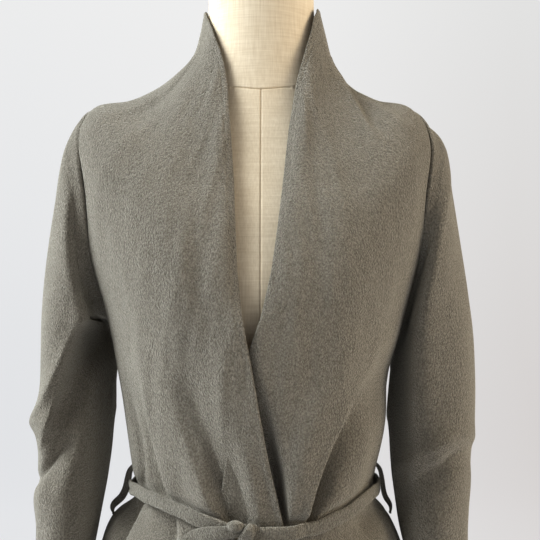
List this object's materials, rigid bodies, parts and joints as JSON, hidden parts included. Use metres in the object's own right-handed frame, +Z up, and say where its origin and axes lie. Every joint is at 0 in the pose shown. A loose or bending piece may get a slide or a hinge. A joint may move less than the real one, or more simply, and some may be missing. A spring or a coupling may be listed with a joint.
{
  "type": "cardigan coat on a dress form",
  "caption": "Wrap cardigan coat of boiled wool with a shawl edge, long sleeves and a knotted tie belt, worn by a limbless linen dress form on a round stand.",
  "frame": {"origin": "middle of the underside of the round stand base, on the floor", "axes": "+Z up; the coat's front faces -Y; +X is to the right of someone who looks at the front"},
  "size_m": [0.4739, 0.3622, 1.5245],
  "materials": {
    "wool": "matt felted wool",
    "belt_wool": "matt felted wool, folded and topstitched",
    "linen": "matt linen cover",
    "wood": "satin dark wood",
    "steel": "satin"
  },
  "bodies": {
    "root": {"front_right": "wool", "front_left": "wool", "back": "wool", "sleeve_right": "wool", "sleeve_left": "wool", "belt": "belt_wool", "belt_knot": "belt_wool", "belt_end_right": "belt_wool", "belt_end_left": "belt_wool", "loop_right": "belt_wool", "loop_left": "belt_wool", "form_body": "linen", "stand_base": "wood", "stand_pole": "steel"}
  },
  "joints": []
}
